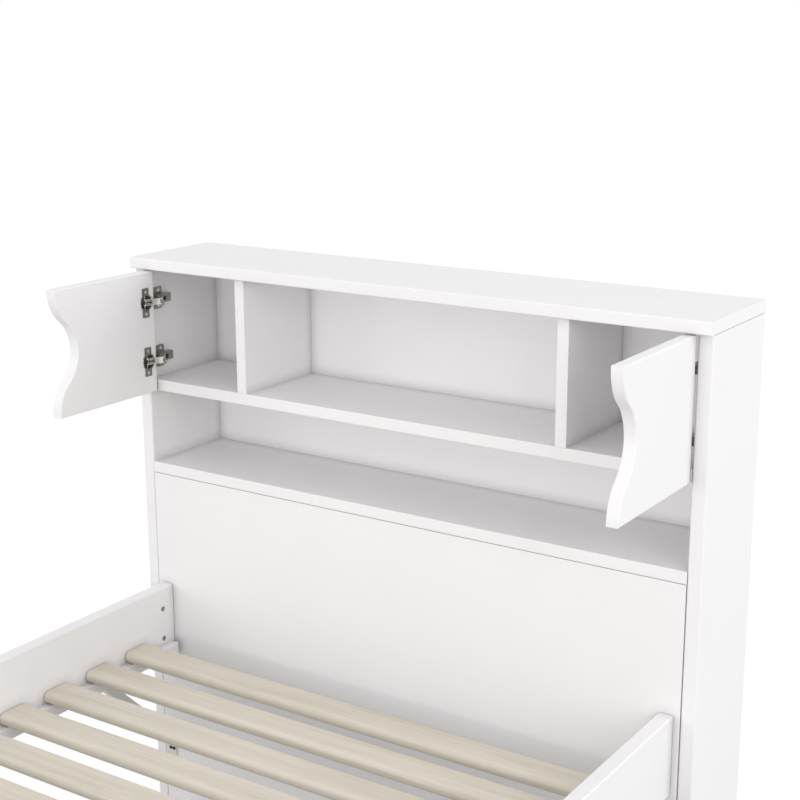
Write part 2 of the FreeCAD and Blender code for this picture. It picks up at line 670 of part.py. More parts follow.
def left_knee_brace():
    """Strut at 45 degrees with a foot plate on the front panel and a top plate under the rail."""
    top_z = RAIL_BOTTOM - BRACE_PLATE_THICKNESS
    wall_y = FRONT_Y - BRACE_PLATE_THICKNESS
    low_z = RAIL_BOTTOM - BRACE_REACH
    far_y = FRONT_Y - BRACE_REACH
    slant = BRACE_THICKNESS * math.sqrt(2)
    x = -(BRACE_INNER_X + BRACE_WIDTH)
    corners = [point(x, far_y, top_z), point(x, far_y + slant, top_z),
               point(x, wall_y, low_z + slant), point(x, wall_y, low_z)]
    strut = Part.Face(Part.makePolygon(corners + corners[:1])).extrude(point(BRACE_WIDTH, 0, 0))
    inner_x = -BRACE_INNER_X
    foot = board((inner_x - BRACE_PLATE_WIDTH, wall_y, low_z - BRACE_FOOT_DROP),
                 (inner_x, FRONT_Y, low_z + BRACE_FOOT_RISE), Y_AXIS, BRACE_CORNER_RADIUS)
    plate_x = -RAIL_CENTRE_X
    top = board((plate_x - BRACE_WIDTH / 2, far_y - BRACE_CORNER_RADIUS, top_z),
                (plate_x + BRACE_WIDTH / 2, far_y + slant + BRACE_TOP_REACH, RAIL_BOTTOM),
                Z_AXIS, BRACE_CORNER_RADIUS)
    return cut_all(strut.fuse([foot, top]), brace_screw_holes())


# ---------------------------------------------------------------- doors

def door_point(s, d, z=0.0):
    """Point of the open left door: s from the hinge edge, d into the door from its inner face."""
    return point(DOOR_INNER_X - d, DOOR_HINGE_Y - s, z)


def wave_radius():
    """Radius of each of the two equal tangent arcs of one half wave."""
    half_run = DOOR_WAVE_HALF_RUN / 2
    half_depth = DOOR_WAVE_DEPTH / 2
    return (half_run ** 2 + half_depth ** 2) / (2 * half_depth)


def door_outline():
    """Outline of the door on its inner face, with the wave along the free edge."""
    radius = wave_radius()
    middle_z = (DOOR_TOP_Z + DOOR_LOW_Z) / 2
    half_angle = math.asin(DOOR_WAVE_HALF_RUN / 2 / radius) / 2
    sagitta = radius * (1 - math.cos(half_angle))
    reach = radius * math.sin(half_angle)
    narrow = DOOR_WIDEST - DOOR_WAVE_DEPTH
    corner = door_point(DOOR_WIDEST, 0, DOOR_TOP_Z)
    edges = [Part.makeLine(door_point(0, 0, DOOR_LOW_Z), door_point(0, 0, DOOR_TOP_Z)),
             Part.makeLine(door_point(0, 0, DOOR_TOP_Z), corner)]
    places = []
    for side in (1, -1):
        wide = door_point(DOOR_WIDEST, 0, middle_z + side * DOOR_WAVE_HALF_RUN)
        near_wide = door_point(DOOR_WIDEST - sagitta, 0, middle_z + side * (DOOR_WAVE_HALF_RUN - reach))
        turn = door_point(DOOR_WIDEST - DOOR_WAVE_DEPTH / 2, 0, middle_z + side * DOOR_WAVE_HALF_RUN / 2)
        near_narrow = door_point(narrow + sagitta, 0, middle_z + side * reach)
        places.append((wide, near_wide, turn, near_narrow))
    centre = door_point(narrow, 0, middle_z)
    upper, lower = places
    edges += [Part.makeLine(corner, upper[0]), Part.Arc(upper[0], upper[1], upper[2]).toShape(),
              Part.Arc(upper[2], upper[3], centre).toShape(), Part.Arc(centre, lower[3], lower[2]).toShape(),
              Part.Arc(lower[2], lower[1], lower[0]).toShape()]
    end = door_point(DOOR_WIDEST, 0, DOOR_LOW_Z)
    edges += [Part.makeLine(lower[0], end), Part.makeLine(end, door_point(0, 0, DOOR_LOW_Z))]
    return Part.Wire(edges)


def left_door():
    solid = Part.Face(door_outline()).extrude(point(-DOOR_THICKNESS, 0, 0))
    outer = [edge for edge in solid.Edges if edge.BoundBox.XMax < DOOR_OUTER_X + TOLERANCE]
    inner = [edge for edge in solid.Edges if edge.BoundBox.XMin > DOOR_INNER_X - TOLERANCE]
    solid = solid.makeFillet(DOOR_EDGE_RADIUS, outer + inner)
    tools = []
    for z in HINGE_HEIGHTS:
        depth = 2 * CUP_TOTAL_DEPTH + CUP_BORE_PLAY
        start = door_point(CUP_CENTRE_S, -CUP_TOTAL_DEPTH, z)
        tools.append(rod(start, -X_AXIS, CUP_OUTER_RADIUS + CUP_BORE_PLAY, depth))
        tools += [flush_screw_hole(seat) for seat in cup_screw_seats(z)]
    return cut_all(solid, tools)


# ---------------------------------------------------------------- hinges

def panel_point(x, y, z=0.0):
    """Point from the left side panel's outer face and the headboard's front plane."""
    return point(x - HALF_WIDTH, FRONT_Y + y, z)


def door_pivot():
    return door_point(DOOR_PIVOT_S, DOOR_PIVOT_D)


def outer_pivot():
    """Fixed pivot at equal distance from the door pivot's open and closed places."""
    opened = door_pivot()
    closed = panel_point(DOOR_SIDE_REVEAL + DOOR_PIVOT_S, -DOOR_FACE_GAP - DOOR_PIVOT_D)
    chord = closed.sub(opened).normalize()
    inward = point(chord.y, -chord.x)
    if inward.y < 0:
        inward = inward * -1
    return (opened + closed) * 0.5 + inward * OUTER_PIVOT_HEIGHT


def inner_pivot():
    return panel_point(INNER_PIVOT_X, INNER_PIVOT_Y)


def open_pivot():
    return door_point(OPEN_PIVOT_S, OPEN_PIVOT_D)


def bowed_band(start, end, bow, skew, low_offset, high_offset, first, last, z_low, z_high):
    """Band along a bowed line between two pivots, from one share of its length to another."""
    run = end.sub(start)
    across = point(-run.y, run.x).normalize()
    line = []
    for i in range(BAND_STEPS + 1):
        t = first + (last - first) * i / BAND_STEPS
        lift = bow * 4 * t * (1 - t) * (1 + skew * (2 * t - 1))
        line.append(start + run * t + across * lift)
    low_side = [p + across * low_offset for p in line]
    high_side = [p + across * high_offset for p in line]
    upper = Part.BSplineCurve()
    upper.interpolate(high_side)
    lower = Part.BSplineCurve()
    lower.interpolate(low_side)
    edges = [lower.toShape(), Part.makeLine(low_side[-1], high_side[-1]), upper.toShape(),
             Part.makeLine(high_side[0], low_side[0])]
    wire = Part.Wire(Part.__sortEdges__(edges))
    return slab(wire, z_low, z_high)


def disc(centre, radius, z_low, z_high):
    return rod(point(centre.x, centre.y, z_low), Z_AXIS, radius, z_high - z_low)


def outer_link(z):
    """Outer hinge link: two cheeks joined by a short web near the fixed pivot."""
    fixed, moving = outer_pivot(), door_pivot()
    web_start = CABINET_EYE_RADIUS / fixed.distanceToPoint(moving)
    pieces = []
    for low, high in ((OUTER_CHEEK_START, OUTER_CHEEK_END), (-OUTER_CHEEK_END, -OUTER_CHEEK_START)):
        band = bowed_band(fixed, moving, OUTER_LINK_BOW, OUTER_BOW_SKEW, -LINK_HALF_WIDTH, LINK_HALF_WIDTH,
                          0, 1, low, high)
        skirt = bowed_band(fixed, moving, OUTER_LINK_BOW, OUTER_BOW_SKEW, 0, OUTER_WEB_FAR,
                           web_start, OUTER_WEB_SHARE, low, high)
        pieces += [band, skirt]
        pieces += [disc(fixed, CABINET_EYE_RADIUS, low, high), disc(moving, DOOR_EYE_RADIUS, low, high)]
    pieces.append(bowed_band(fixed, moving, OUTER_LINK_BOW, OUTER_BOW_SKEW, OUTER_WEB_NEAR, OUTER_WEB_FAR,
                             web_start, OUTER_WEB_SHARE, -OUTER_CHEEK_END, OUTER_CHEEK_END))
    solid = pieces[0].fuse(pieces[1:])
    holes = [disc(fixed, CABINET_PIN_RADIUS + PIN_PLAY, -ARM_CHEEK_END, ARM_CHEEK_END),
             disc(moving, DOOR_PIN_RADIUS + PIN_PLAY, -ARM_CHEEK_END, ARM_CHEEK_END)]
    solid = cut_all(solid, holes)
    solid.translate(point(0, 0, z))
    return solid


def inner_link(z):
    """Inner hinge link: a solid root that forks around the lug in the cup."""
    fixed, moving = inner_pivot(), open_pivot()
    half = INNER_LINK_HALF_HEIGHT
    band = bowed_band(fixed, moving, INNER_LINK_BOW, INNER_BOW_SKEW, -LINK_HALF_WIDTH, LINK_HALF_WIDTH,
                      0, 1, -half, half)
    eyes = [disc(fixed, CABINET_EYE_RADIUS, -half, half), disc(moving, OPEN_EYE_RADIUS, -half, half)]
    solid = band.fuse(eyes)
    fork_reach = (1 - INNER_WEB_SHARE) * fixed.distanceToPoint(moving)
    holes = [disc(fixed, CABINET_PIN_RADIUS + PIN_PLAY, -ARM_CHEEK_END, ARM_CHEEK_END),
             disc(moving, OPEN_HOLE_RADIUS, -ARM_CHEEK_END, ARM_CHEEK_END),
             disc(moving, fork_reach, -INNER_FORK_START, INNER_FORK_START)]
    solid = cut_all(solid, holes)
    solid.translate(point(0, 0, z))
    return solid


def flange(z):
    """Thin flange on the door's inner face: two screw ears, open where the links pass."""
    half = FLANGE_HEIGHT / 2
    s_low = FLANGE_CENTRE_S - FLANGE_EAR_WIDTH / 2
    s_high = FLANGE_CENTRE_S + FLANGE_EAR_WIDTH / 2
    far = door_point(s_high, 0, z - half)
    near = door_point(s_low, -FLANGE_THICKNESS, z + half)
    ears = board((far.x, far.y, far.z), (near.x, near.y, near.z), X_AXIS, FLANGE_CORNER_RADIUS)
    rim = rod(door_point(CUP_CENTRE_S, 0, z), X_AXIS, CUP_OUTER_RADIUS + FLANGE_RIM, FLANGE_THICKNESS)
    reach = CUP_OUTER_RADIUS + 2 * FLANGE_RIM
    low = door_point(CUP_CENTRE_S + reach, 0, z - LINK_NOTCH_HALF_HEIGHT)
    high = door_point(CUP_CENTRE_S - reach, -2 * FLANGE_THICKNESS, z + LINK_NOTCH_HALF_HEIGHT)
    return ears.fuse(rim).cut(box((low.x, low.y, low.z), (high.x, high.y, high.z)))


def hinge_cup(z):
    """Cup in the door with its flange, two stub pins and the lug of the open pivot."""
    outer = rod(door_point(CUP_CENTRE_S, 0, z), -X_AXIS, CUP_OUTER_RADIUS, CUP_TOTAL_DEPTH)
    start = door_point(CUP_CENTRE_S, -2 * FLANGE_THICKNESS, z)
    cavity = rod(start, -X_AXIS, CUP_CAVITY_RADIUS, CUP_CAVITY_DEPTH + 2 * FLANGE_THICKNESS)
    shell = outer.fuse(flange(z)).cut(cavity)
    pieces = []
    pivot = door_pivot()
    length = CUP_CAVITY_RADIUS + CUP_WALL / 2 - DOOR_PIN_START
    for start_z in (z + DOOR_PIN_START, z - DOOR_PIN_START - length):
        pieces.append(rod(point(pivot.x, pivot.y, start_z), Z_AXIS, DOOR_PIN_RADIUS, length))
    lug_high = door_point(OPEN_PIVOT_S - OPEN_LUG_HALF_WIDTH, OPEN_PIVOT_D, z + OPEN_LUG_HALF_HEIGHT)
    lug_low = door_point(OPEN_PIVOT_S + OPEN_LUG_HALF_WIDTH, CUP_TOTAL_DEPTH, z - OPEN_LUG_HALF_HEIGHT)
    pieces.append(box((lug_low.x, lug_low.y, lug_low.z), (lug_high.x, lug_high.y, lug_high.z)))
    centre = open_pivot()
    pieces.append(disc(centre, OPEN_LUG_HALF_WIDTH, z - OPEN_LUG_HALF_HEIGHT, z + OPEN_LUG_HALF_HEIGHT))
    pieces.append(disc(centre, OPEN_PIN_RADIUS, z - INNER_LINK_HALF_HEIGHT, z + INNER_LINK_HALF_HEIGHT))
    solid = shell.fuse(pieces)
    return cut_all(solid, [flush_screw_hole(seat) for seat in cup_screw_seats(z)])


def cup_screw_seats(z):
    """Places on the flange's outer face where its screw heads sit."""
    return [door_point(FLANGE_CENTRE_S, -FLANGE_THICKNESS, z + side * CUP_SCREW_SPACING / 2)
            for side in (1, -1)]


def pan_screw(seat, run, length=HINGE_SCREW_LENGTH):
    """Small screw with a round slotted head on its seat."""
    shank = rod(seat, run, HINGE_SCREW_RADIUS, length)
    top = seat - run * HINGE_HEAD_HEIGHT
    head = rod(top, run, HINGE_HEAD_RADIUS, HINGE_HEAD_HEIGHT)
    slot = box((top.x - SLOT_DEPTH, top.y - SLOT_WIDTH / 2, top.z - HINGE_HEAD_RADIUS),
               (top.x + SLOT_DEPTH, top.y + SLOT_WIDTH / 2, top.z + HINGE_HEAD_RADIUS))
    return shank.fuse(head).cut(slot).removeSplitter().Solids[0]


def flush_screw(seat):
    """Countersunk screw of the cup's flange, flush with it and slotted."""
    head = Part.makeCone(HINGE_HEAD_RADIUS, HINGE_SCREW_RADIUS, HINGE_SINK_DEPTH, seat, -X_AXIS)
    shank = rod(seat, -X_AXIS, HINGE_SCREW_RADIUS, HINGE_SCREW_LENGTH)
    slot = box((seat.x - SLOT_DEPTH, seat.y - SLOT_WIDTH / 2, seat.z - HINGE_HEAD_RADIUS),
               (seat.x + SLOT_DEPTH, seat.y + SLOT_WIDTH / 2, seat.z + HINGE_HEAD_RADIUS))
    return shank.fuse(head).cut(slot).removeSplitter().Solids[0]


def flush_screw_hole(seat):
    play = FASTENER_PLAY
    head = Part.makeCone(HINGE_HEAD_RADIUS + play, HINGE_SCREW_RADIUS + play, HINGE_SINK_DEPTH, seat, -X_AXIS)
    return grown_rod(seat, -X_AXIS, HINGE_SCREW_RADIUS, HINGE_SCREW_LENGTH).fuse(head)


def left_cup_screws():
    return [flush_screw(seat) for z in HINGE_HEIGHTS for seat in cup_screw_seats(z)]


def plate_screw_seats():
    """Places on the mounting plates where their screw heads sit, on the left side."""
    seats = []
    middle = (PLATE_FRONT + PLATE_BACK) / 2
    for z in HINGE_HEIGHTS:
        for side in (1, -1):
            height = z + side * PLATE_SCREW_SPACING / 2
            seats.append(panel_point(SIDE_THICKNESS + PLATE_THICKNESS, middle, height))
    return seats


def left_plate_screw_holes():
    return [grown_rod(seat, -X_AXIS, HINGE_SCREW_RADIUS, HINGE_SCREW_LENGTH) for seat in plate_screw_seats()]


def hinge_plate_screws():
    return on_both_sides([pan_screw(seat, -X_AXIS) for seat in plate_screw_seats()])


def hinge_plate(z):
    """Flat mounting plate on the side panel with a raised middle that fills the arm's channel."""
    low = panel_point(SIDE_THICKNESS, PLATE_FRONT, z - PLATE_HEIGHT / 2)
    high = panel_point(SIDE_THICKNESS + PLATE_THICKNESS, PLATE_BACK, z + PLATE_HEIGHT / 2)
    plate = board((low.x, low.y, low.z), (high.x, high.y, high.z), X_AXIS, PLATE_CORNER_RADIUS)
    low = panel_point(SIDE_THICKNESS, PLATE_FRONT + PLATE_CORNER_RADIUS, z - ARM_CHEEK_START)
    high = panel_point(SIDE_THICKNESS + ARM_REACH_X - ARM_WEB_THICKNESS, PLATE_BACK, z + ARM_CHEEK_START)
    block = box((low.x, low.y, low.z), (high.x, high.y, high.z))
    holes = [grown_rod(seat, -X_AXIS, HINGE_SCREW_RADIUS, HINGE_SCREW_LENGTH) for seat in plate_screw_seats()]
    return cut_all(plate.fuse(block), holes + [grown(clamp_shank(z))])


def clamp_shank(z):
    """Shank of the screw that clamps the arm onto its plate."""
    top = SIDE_THICKNESS + ARM_REACH_X
    length = ARM_REACH_X - PLATE_THICKNESS
    return rod(panel_point(top, CLAMP_SCREW_DISTANCE, z), -X_AXIS, CLAMP_SCREW_RADIUS, length)


def clamp_screw(z):
    top = clamp_shank(z)
    seat = panel_point(SIDE_THICKNESS + ARM_REACH_X, CLAMP_SCREW_DISTANCE, z)
    head = rod(seat, X_AXIS, CLAMP_HEAD_RADIUS, HINGE_HEAD_HEIGHT)
    face_x = seat.x + HINGE_HEAD_HEIGHT
    slot = box((face_x - SLOT_DEPTH, seat.y - CLAMP_HEAD_RADIUS, z - SLOT_WIDTH / 2),
               (face_x + SLOT_DEPTH, seat.y + CLAMP_HEAD_RADIUS, z + SLOT_WIDTH / 2))
    return top.fuse(head).cut(slot).removeSplitter().Solids[0]


def arm_corners():
    """Side view of the arm's cheek: a straight base on the plate and a cranked front end."""
    base_x = SIDE_THICKNESS + PLATE_THICKNESS
    web_x = SIDE_THICKNESS + ARM_REACH_X
    fixed = outer_pivot().sub(panel_point(0, 0))
    inner = inner_pivot().sub(panel_point(0, 0))
    nose_x = fixed.x + ARM_EYE_WALL + ARM_NOSE_MARGIN
    return [panel_point(base_x, ARM_FRONT), panel_point(base_x, ARM_BACK), panel_point(web_x, ARM_BACK),
            panel_point(web_x, ARM_FRONT + ARM_CRANK_SETBACK),
            panel_point(inner.x + ARM_NOSE_RUN, inner.y + ARM_CRANK_RISE),
            panel_point(nose_x, fixed.y + ARM_EYE_WALL), panel_point(nose_x, fixed.y - ARM_EYE_WALL),
            panel_point(fixed.x - ARM_NOSE_RUN, fixed.y - ARM_EYE_WALL),
            panel_point(inner.x - ARM_EYE_WALL - ARM_NOSE_MARGIN, inner.y - ARM_THROAT_DROP),
            panel_point(inner.x - ARM_THROAT_RUN, ARM_FRONT - ARM_THROAT_ADVANCE)]


def hinge_arm(z):
    """Channel-shaped arm with the two fixed pivot pins at its cranked front end."""
    corners = arm_corners()
    outline = rounded_outline(corners, ARM_CORNER_RADIUS)
    cheeks = [slab(outline, ARM_CHEEK_START, ARM_CHEEK_END), slab(outline, -ARM_CHEEK_END, -ARM_CHEEK_START)]
    web_side = corners[2:5]
    depth = point(-ARM_WEB_THICKNESS, 0)
    low_side = [web_side[0] + depth, web_side[1] + depth + point(0, -ARM_WEB_BEND_SHIFT),
                web_side[2] + point(-ARM_WEB_TIP_SHIFT, -ARM_WEB_TIP_SHIFT)]
    ring = web_side + low_side[::-1]
    web = slab(Part.makePolygon(ring + ring[:1]), -ARM_CHEEK_END, ARM_CHEEK_END)
    web = web.common(slab(outline, -ARM_CHEEK_END, ARM_CHEEK_END))
    pins = [disc(centre, CABINET_PIN_RADIUS, -ARM_CHEEK_END, ARM_CHEEK_END)
            for centre in (outer_pivot(), inner_pivot())]
    solid = cheeks[0].fuse([cheeks[1], web] + pins)
    solid.translate(point(0, 0, z))
    return cut_all(solid, [grown(clamp_shank(z))])


# ---------------------------------------------------------------- export

def save(name, solids):
    """Write one node; identical pieces are kept as separate solids."""
    solids = list(solids)
    shape = solids[0] if len(solids) == 1 else Part.makeCompound(solids)
    shape.exportStep("parts/" + name + ".step")


def save_pair(name, solid):
    """Write the left and the right piece."""
    save("left_" + name, [solid])
    save("right_" + name, [mirrored(solid)])


def save_pair_group(name, solids):
    save("left_" + name, solids)
    save("right_" + name, [mirrored(solid) for solid in solids])


os.makedirs("parts", exist_ok=True)

save("top_board", [top_board()])
save_pair("side_panel", left_side_panel())
save("middle_shelf", [middle_shelf()])
save("lower_shelf", [lower_shelf()])
save_pair("divider", left_divider())
save("back_panel", [back_panel()])
save("front_panel", [front_panel()])
save("rear_stretcher", [rear_stretcher()])
save_pair("side_rail", left_side_rail())
save_pair("ledger", left_ledger())
for number, centre_y in enumerate(SLAT_CENTRES, 1):
    save("slat_%02d" % number, [slat(centre_y)])
save("footboard_panel", [footboard_panel()])
save_pair("foot_post", left_foot_post())
save_pair("knee_brace", left_knee_brace())
save("ledger_screws", ledger_screws())
save("slat_screws", slat_screws())
save("barrel_nuts", barrel_nuts())
save("rail_bolts", rail_bolts())
save("cam_locks", cam_locks())
save("cam_bolts", cam_bolts())
save("dowels", dowels())
save("brace_screws", brace_screws())
save("floor_glides", floor_glides())
save("hinge_plates", on_both_sides([hinge_plate(z) for z in HINGE_HEIGHTS]))
save("hinge_arms", on_both_sides([hinge_arm(z) for z in HINGE_HEIGHTS]))
save("hinge_plate_screws", hinge_plate_screws())
save("hinge_clamp_screws", on_both_sides([clamp_screw(z) for z in HINGE_HEIGHTS]))
save_pair("door", left_door())
save_pair_group("hinge_cups", [hinge_cup(z) for z in HINGE_HEIGHTS])
save_pair_group("cup_screws", left_cup_screws())
save_pair_group("outer_links", [outer_link(z) for z in HINGE_HEIGHTS])
save_pair_group("inner_links", [inner_link(z) for z in HINGE_HEIGHTS])
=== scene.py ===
import json

import bpy
from mathutils import Matrix, Vector

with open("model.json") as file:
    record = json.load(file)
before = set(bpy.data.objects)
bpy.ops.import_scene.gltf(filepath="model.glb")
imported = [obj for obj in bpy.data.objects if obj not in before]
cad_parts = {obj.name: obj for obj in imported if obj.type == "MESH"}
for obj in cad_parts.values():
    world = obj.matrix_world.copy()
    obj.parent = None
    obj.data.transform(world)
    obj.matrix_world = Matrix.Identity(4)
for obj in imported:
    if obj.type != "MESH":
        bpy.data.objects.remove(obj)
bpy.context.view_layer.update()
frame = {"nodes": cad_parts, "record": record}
nodes = frame["nodes"]

# ------------------------------------------------------------------ looks (shares without unit)

PAINT_TONE = 0.89
PAINT_LOW = (0.985, 0.970, 0.980)     # shares of the tone in the darker mottling
PAINT_HIGH = (1.0, 0.985, 0.995)      # and those in the lighter
PAINT_SPECULAR = 0.42
PAINTED_SHADE_REACH = 0.020                  # m over which painted shade darkens the paint towards a corner
PAINTED_SHADE_DEPTH = 0.34                   # share of the colour that painted shade takes away in the corner itself

PINE_LIGHT = (0.760, 0.708, 0.616)
PINE_MID = (0.722, 0.665, 0.568)
PINE_DARK = (0.650, 0.590, 0.488)
PORE_COLOUR = (0.93, 0.92, 0.90)
BROAD_COLOUR = (0.95, 0.95, 0.95)
PLAIN = (1.0, 1.0, 1.0)
BAND_STRETCH = (0.9, 22.0, 30.0)      # long along X, tight across it
PORE_STRETCH = (0.35, 16.0, 16.0)
PORE_SHARE = 0.75
BEECH_TINT = (0.95, 0.82, 0.72)

# the first nickel colour is darkened as painted shade for hinge parts in the shaded gap beside the
# doors; the second is the plain nickel colour
SHADED_NICKEL_COLOUR = (0.36, 0.35, 0.325)
BRIGHT_COLOUR = (0.86, 0.84, 0.78)
BLACK_COLOUR = (0.035, 0.035, 0.036)
ZINC_COLOUR = (0.46, 0.46, 0.47)
BRACE_COLOUR = (0.76, 0.745, 0.690)
GLIDE_COLOUR = (0.045, 0.045, 0.047)
POLISH_SCALE = 240.0
POLISH_CLOUD_SHARE = 0.12             # scale of the broad unevenness, as a share
METAL_DARK_SHARE = 0.86
BRACE_DARK_SHARE = 0.93
PLASTIC_DARK_SHARE = 0.85

# ------------------------------------------------------------------ studio values

WORLD_SEEN = 1.0                      # what the camera and the reflections see
WORLD_LIGHT = 0.86                    # what lights the object
FLOOR_HALF = 14.0                     # m
FLOOR_LOW = (0.44, 0.44, 0.44)        # floor colours that light the object from below
FLOOR_HIGH = (0.46, 0.46, 0.46)
FLOOR_ROUGHNESS = 0.9
# the camera and the reflections see this diffuse colour, which takes the shadow, plus the glow
FLOOR_SEEN_DIFFUSE = (0.41, 0.41, 0.41, 1.0)
FLOOR_SEEN_GLOW = 0.65

# name, place, target, size in m, power in W
LAMPS = (
    ("front", (0.4, -8.8, 1.25), (0.0, 0.8, 0.8), (5.0, 2.4), 174.0),
    ("fill", (3.6, -1.6, 2.2), (0.2, 0.7, 0.7), (2.4, 2.4), 33.7),
    ("left_front", (-6.6, -5.3, 2.4), (0.2, 0.9, 0.8), (4.0, 4.0), 78.0),
    ("right_back", (4.0, 2.2, 2.0), (0.5, 0.95, 0.8), (2.4, 2.4), 38.5),
)

CAMERA_PLACE = (1.3635, -1.1416, 1.5773)
CAMERA_RIGHT = (0.83453, 0.55095, -0.00237)
CAMERA_FORWARD = (-0.53441, 0.80842, -0.24670)
CAMERA_LENS = 67.95                   # mm, as is the sensor
CAMERA_SENSOR = 36.0


# ------------------------------------------------------------------ node helpers

def scaled(colour, factor):
    """The colour times one number, or times one for each channel."""
    shares = factor if isinstance(factor, tuple) else (factor,) * 3
    return tuple(c * s for c, s in zip(colour, shares))


def background_rays(tree):
    """1 for rays from the camera, a reflection or a transmission, and 0 for all others."""
    path = tree.nodes.new("ShaderNodeLightPath")
    value = path.outputs["Is Camera Ray"]
    for ray in ("Is Glossy Ray", "Is Transmission Ray"):
        larger = tree.nodes.new("ShaderNodeMath")
        larger.operation = "MAXIMUM"
        tree.links.new(value, larger.inputs[0])
        tree.links.new(path.outputs[ray], larger.inputs[1])
        value = larger.outputs[0]
    return value


def mix_shaders(tree, fac, low, high):
    mix = tree.nodes.new("ShaderNodeMixShader")
    for socket, value in enumerate((fac, low, high)):
        tree.links.new(value, mix.inputs[socket])
    return mix.outputs[0]


class Graph:
    """Small helper that builds one node material."""

    def __init__(self, name):
        self.mat = bpy.data.materials.new(name)
        self.mat.use_nodes = True
        self.tree = self.mat.node_tree
        self.tree.nodes.clear()
        self.out = self.add("ShaderNodeOutputMaterial")
        self.shader = self.add("ShaderNodeBsdfPrincipled")
        self.link(self.shader.outputs[0], self.out.inputs[0])
        self.coords = self.add("ShaderNodeTexCoord").outputs["Object"]

    def add(self, kind, **values):
        node = self.tree.nodes.new(kind)
        for key, value in values.items():
            setattr(node, key, value)
        return node

    def link(self, a, b):
        self.tree.links.new(a, b)

    def stretched(self, scale):
        node = self.add("ShaderNodeMapping")
        node.inputs["Scale"].default_value = scale
        self.link(self.coords, node.inputs["Vector"])
        return node.outputs[0]

    def noise(self, scale, detail, rough=0.55, vector=None, distortion=0.0):
        node = self.add("ShaderNodeTexNoise")
        node.inputs["Scale"].default_value = scale
        node.inputs["Detail"].default_value = detail
        node.inputs["Roughness"].default_value = rough
        node.inputs["Distortion"].default_value = distortion
        self.link(vector or self.coords, node.inputs["Vector"])
        return node.outputs["Fac"]

    def ramp(self, fac, stops):
        node = self.add("ShaderNodeValToRGB")
        while len(node.color_ramp.elements) < len(stops):
            node.color_ramp.elements.new(0.5)
        for element, (place, colour) in zip(node.color_ramp.elements, stops):
            element.position = place
            element.color = (*colour, 1.0)
        self.link(fac, node.inputs[0])
        return node.outputs[0]

    def multiply(self, fac, a, b):
        node = self.add("ShaderNodeMix", data_type="RGBA", blend_type="MULTIPLY")
        node.inputs[0].default_value = fac
        self.link(a, node.inputs[6])
        self.link(b, node.inputs[7])
        return node.outputs[2]

    def map_range(self, value, low, high):
        node = self.add("ShaderNodeMapRange")
        node.inputs["To Min"].default_value = low
        node.inputs["To Max"].default_value = high
        self.link(value, node.inputs["Value"])
        return node.outputs[0]

    def bump(self, height, strength, distance, normal=None):
        node = self.add("ShaderNodeBump")
        node.inputs["Strength"].default_value = strength
        node.inputs["Distance"].default_value = distance
        self.link(height, node.inputs["Height"])
        if normal:
            self.link(normal, node.inputs["Normal"])
        return node.outputs[0]

    def painted_corner_shade(self, colour, reach, depth):
        """Painted shade: darkens the colour over the last millimetres towards an inner corner or a
        seam, as ambient occlusion finds them.
        """
        node = self.add("ShaderNodeAmbientOcclusion", samples=8)
        node.inputs["Distance"].default_value = reach
        shade = self.map_range(node.outputs["AO"], 1.0 - depth, 1.0)
        grey = self.add("ShaderNodeCombineColor")
        for channel in range(3):
            self.link(shade, grey.inputs[channel])
        return self.multiply(1.0, colour, grey.outputs[0])

    def finish(self, colour, rough=None, normal=None):
        self.link(colour, self.shader.inputs["Base Color"])
        if rough is not None:
            self.link(rough, self.shader.inputs["Roughness"])
        if normal is not None:
            self.link(normal, self.shader.inputs["Normal"])
        return self.mat


# ------------------------------------------------------------------ materials

def white_paint(name):
    """Satin sprayed paint: nearly even, with faint mottling, a very fine orange peel and painted
    shade in its inner corners.
    """
    g = Graph(name)
    low, high = scaled(PAINT_LOW, PAINT_TONE), scaled(PAINT_HIGH, PAINT_TONE)
    colour = g.ramp(g.noise(scale=7.0, detail=3.0), [(0.3, low), (0.7, high)])
    # painted shade: the paint colour darkens towards inner corners and seams
    colour = g.painted_corner_shade(colour, PAINTED_SHADE_REACH, PAINTED_SHADE_DEPTH)
    rough = g.map_range(g.noise(scale=38.0, detail=5.0), low=0.40, high=0.50)
    peel = g.bump(g.noise(scale=420.0, detail=2.0), strength=0.10, distance=0.0004)
    slow = g.bump(g.noise(scale=26.0, detail=2.0), strength=0.08, distance=0.0015, normal=peel)
    g.shader.inputs["Specular IOR Level"].default_value = PAINT_SPECULAR
    return g.finish(colour, rough, slow)


def wood(name, tint=PLAIN):
    """Pale planed wood: long grain along X with soft growth bands and short pores."""
    g = Graph(name)
    long_grain = g.stretched(BAND_STRETCH)
    bands = g.noise(scale=2.6, detail=5.0, rough=0.62, vector=long_grain, distortion=0.6)
    base = g.ramp(bands, [(0.30, scaled(PINE_DARK, tint)), (0.47, scaled(PINE_MID, tint)),
                          (0.62, scaled(PINE_LIGHT, tint))])
    pores = g.noise(scale=60.0, detail=3.0, rough=0.6, vector=g.stretched(PORE_STRETCH))
    streak = g.ramp(pores, [(0.40, PORE_COLOUR), (0.56, PLAIN)])
    broad = g.ramp(g.noise(scale=3.1, detail=2.0), [(0.35, BROAD_COLOUR), (0.65, PLAIN)])
    colour = g.multiply(PORE_SHARE, base, streak)
    colour = g.multiply(1.0, colour, broad)
    rough = g.map_range(pores, low=0.50, high=0.66)
    return g.finish(colour, rough, g.bump(pores, strength=0.18, distance=0.0006))


def metal(name, colour, rough_low, rough_high):
    """Plated steel with fine uneven polish."""
    g = Graph(name)
    fine = g.noise(scale=POLISH_SCALE, detail=4.0)
    cloud = g.noise(scale=POLISH_SCALE * POLISH_CLOUD_SHARE, detail=3.0)
    tone = g.ramp(cloud, [(0.3, scaled(colour, METAL_DARK_SHARE)), (0.7, colour)])
    g.shader.inputs["Metallic"].default_value = 1.0
    rough = g.map_range(fine, rough_low, rough_high)
    return g.finish(tone, rough, g.bump(fine, strength=0.12, distance=0.0002))


